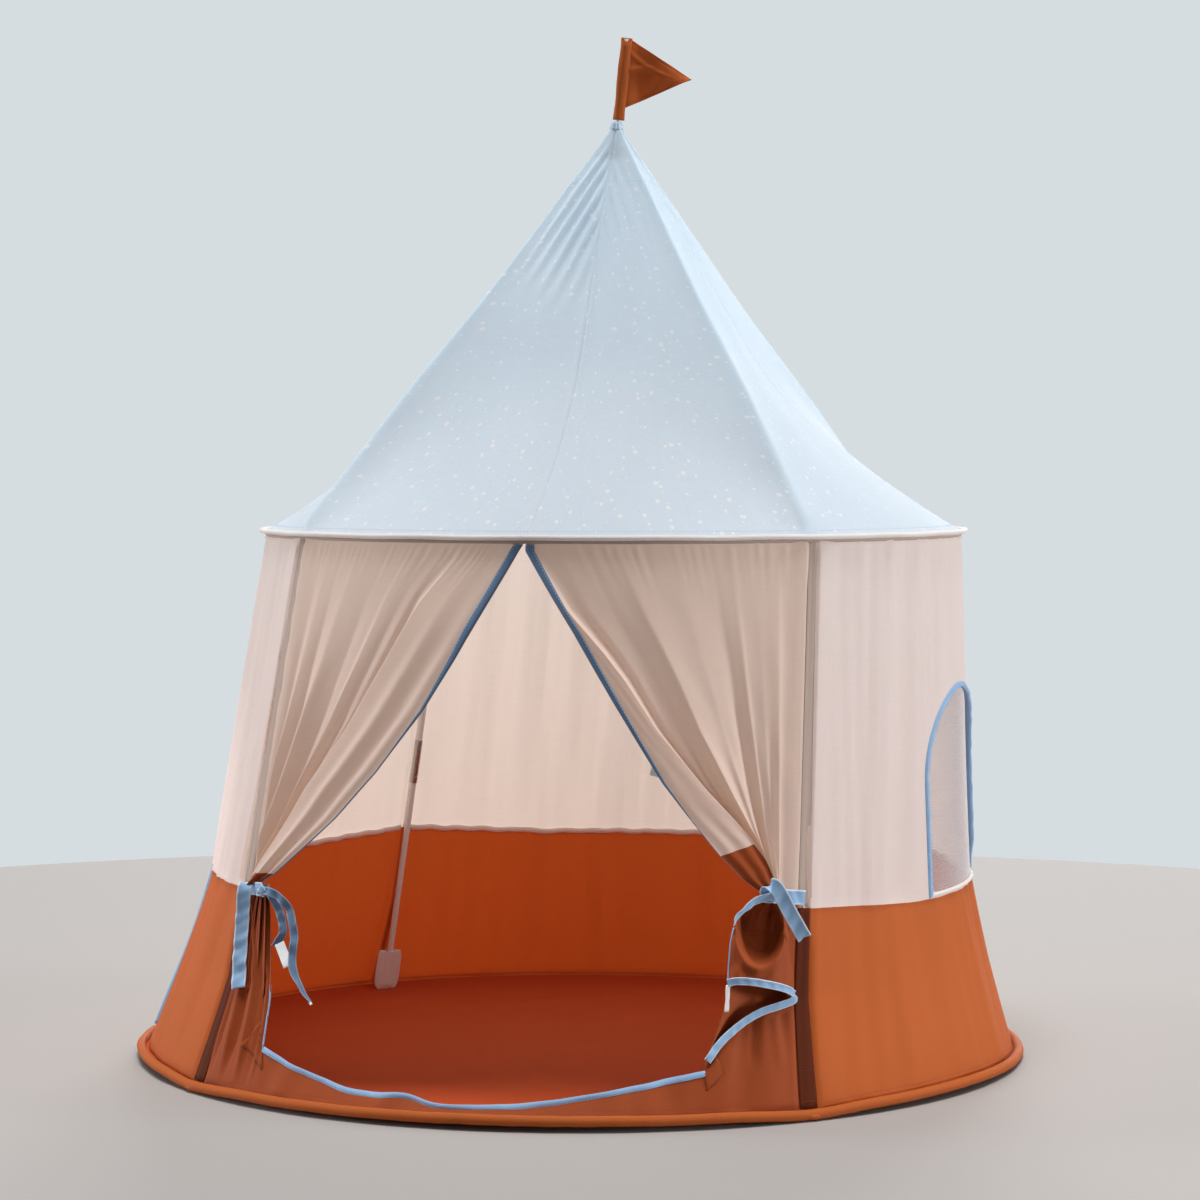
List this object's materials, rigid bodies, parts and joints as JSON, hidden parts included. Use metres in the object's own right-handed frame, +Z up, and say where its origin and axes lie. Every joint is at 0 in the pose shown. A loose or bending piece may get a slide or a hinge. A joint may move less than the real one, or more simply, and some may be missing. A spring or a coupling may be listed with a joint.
{
  "type": "play tent",
  "caption": "Round free-standing play tent with a pointed roof, sprung hoops, jointed poles, tied-back door curtains, a netted window and a turning flag.",
  "frame": {"origin": "centre of the floor hoop, on the floor", "axes": "+Z up, the door faces -Y, the netted window faces +X; the roof leans about 50 mm to +X"},
  "size_m": [1.1992, 1.2, 1.3748],
  "materials": {
    "roof_cloth": "matt woven polyester, light blue with small pale dots",
    "wall_cloth": "matt woven polyester, pale beige",
    "skirt_cloth": "matt woven polyester, rust",
    "ground_cloth": "matt woven polyester, dark rust",
    "tape": "matt woven tape, light blue",
    "netting": "fine knitted netting",
    "pocket_cloth": "matt woven cloth, grey brown",
    "rod": "drawn fibreglass rod, grey",
    "ferrule": "polished steel tube",
    "hoop_rod": "plastic-covered sprung wire",
    "hub": "moulded plastic",
    "stick": "moulded plastic"
  },
  "bodies": {
    "tent": {"roof_front_right": "roof_cloth", "roof_back_right": "roof_cloth", "roof_back_left": "roof_cloth", "roof_front_left": "roof_cloth", "wall_left": "wall_cloth", "wall_right": "wall_cloth", "wall_back": "wall_cloth", "curtain_left": "wall_cloth", "curtain_right": "wall_cloth", "eaves_channel": "wall_cloth", "skirt_left": "skirt_cloth", "skirt_right": "skirt_cloth", "skirt_back": "skirt_cloth", "skirt_front": "skirt_cloth", "floor_channel": "skirt_cloth", "groundsheet": "ground_cloth", "curtain_left_binding": "tape", "curtain_right_binding": "tape", "sill_binding": "tape", "window_binding": "tape", "side_strip": "tape", "window_net": "netting", "pocket_front_right": "pocket_cloth", "pocket_back_right": "pocket_cloth", "pocket_back_left": "pocket_cloth", "pocket_front_left": "pocket_cloth", "wall_rod_low_front_right": "rod", "wall_rod_high_front_right": "rod", "roof_rod_low_front_right": "rod", "roof_rod_high_front_right": "rod", "wall_rod_low_back_right": "rod", "wall_rod_high_back_right": "rod", "roof_rod_low_back_right": "rod", "roof_rod_high_back_right": "rod", "wall_rod_low_back_left": "rod", "wall_rod_high_back_left": "rod", "roof_rod_low_back_left": "rod", "roof_rod_high_back_left": "rod", "wall_rod_low_front_left": "rod", "wall_rod_high_front_left": "rod", "roof_rod_low_front_left": "rod", "roof_rod_high_front_left": "rod", "ferrule_front_right": "ferrule", "elbow_front_right": "ferrule", "ferrule_back_right": "ferrule", "elbow_back_right": "ferrule", "ferrule_back_left": "ferrule", "elbow_back_left": "ferrule", "ferrule_front_left": "ferrule", "elbow_front_left": "ferrule", "floor_hoop": "hoop_rod", "eaves_hoop": "hoop_rod", "hub": "hub"},
    "right_tail": {"tail_right": "skirt_cloth", "tail_right_hem": "tape", "tie_right": "tape"},
    "left_tail": {"tail_left": "skirt_cloth", "tie_left": "tape"},
    "stick": {"flag_stick": "stick"},
    "pennant": {"flag": "skirt_cloth"}
  },
  "joints": [
    {"name": "right_tail_swing", "type": "hinge", "parent": "tent", "child": "right_tail", "pos_m": [0.37696, -0.38408, 0.26719], "axis": [0, 0, 1], "range_deg": [0, 20]},
    {"name": "left_tail_swing", "type": "hinge", "parent": "tent", "child": "left_tail", "pos_m": [-0.34431, -0.38552, 0.25521], "axis": [0, 0, -1], "range_deg": [0, 20]},
    {"name": "stick_slide", "type": "slide", "parent": "tent", "child": "stick", "axis": [0.1045, 0, 0.9945], "range_m": [0, 0.012]},
    {"name": "flag_turn", "type": "hinge", "parent": "stick", "child": "pennant", "pos_m": [0.05035, 0, 1.239], "axis": [0.1045, 0, 0.9945], "continuous": true}
  ]
}
